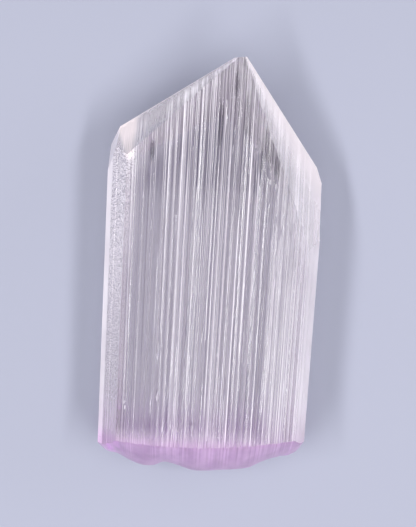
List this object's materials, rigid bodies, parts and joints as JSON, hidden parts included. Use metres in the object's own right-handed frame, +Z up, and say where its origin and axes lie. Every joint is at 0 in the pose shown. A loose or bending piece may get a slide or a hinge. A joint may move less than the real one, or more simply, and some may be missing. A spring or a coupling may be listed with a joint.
{
  "type": "kunzite crystal",
  "caption": "Clear, pale lilac kunzite crystal: a flat, lengthwise striated blade with a lopsided roof-shaped tip and a shell-fractured base.",
  "frame": {"origin": "centre of the footprint, on the surface that the crystal lies on", "axes": "+Y along the blade towards its tip, +Z up out of the front broad face, +X across the blade to the right seen from the front"},
  "size_m": [0.0336, 0.0683, 0.011],
  "materials": {
    "kunzite": "clear and glassy, nearly colourless at the tip and lilac at the base, with fine lengthwise striations"
  },
  "bodies": {
    "root": {"kunzite_crystal": "kunzite"}
  },
  "joints": []
}
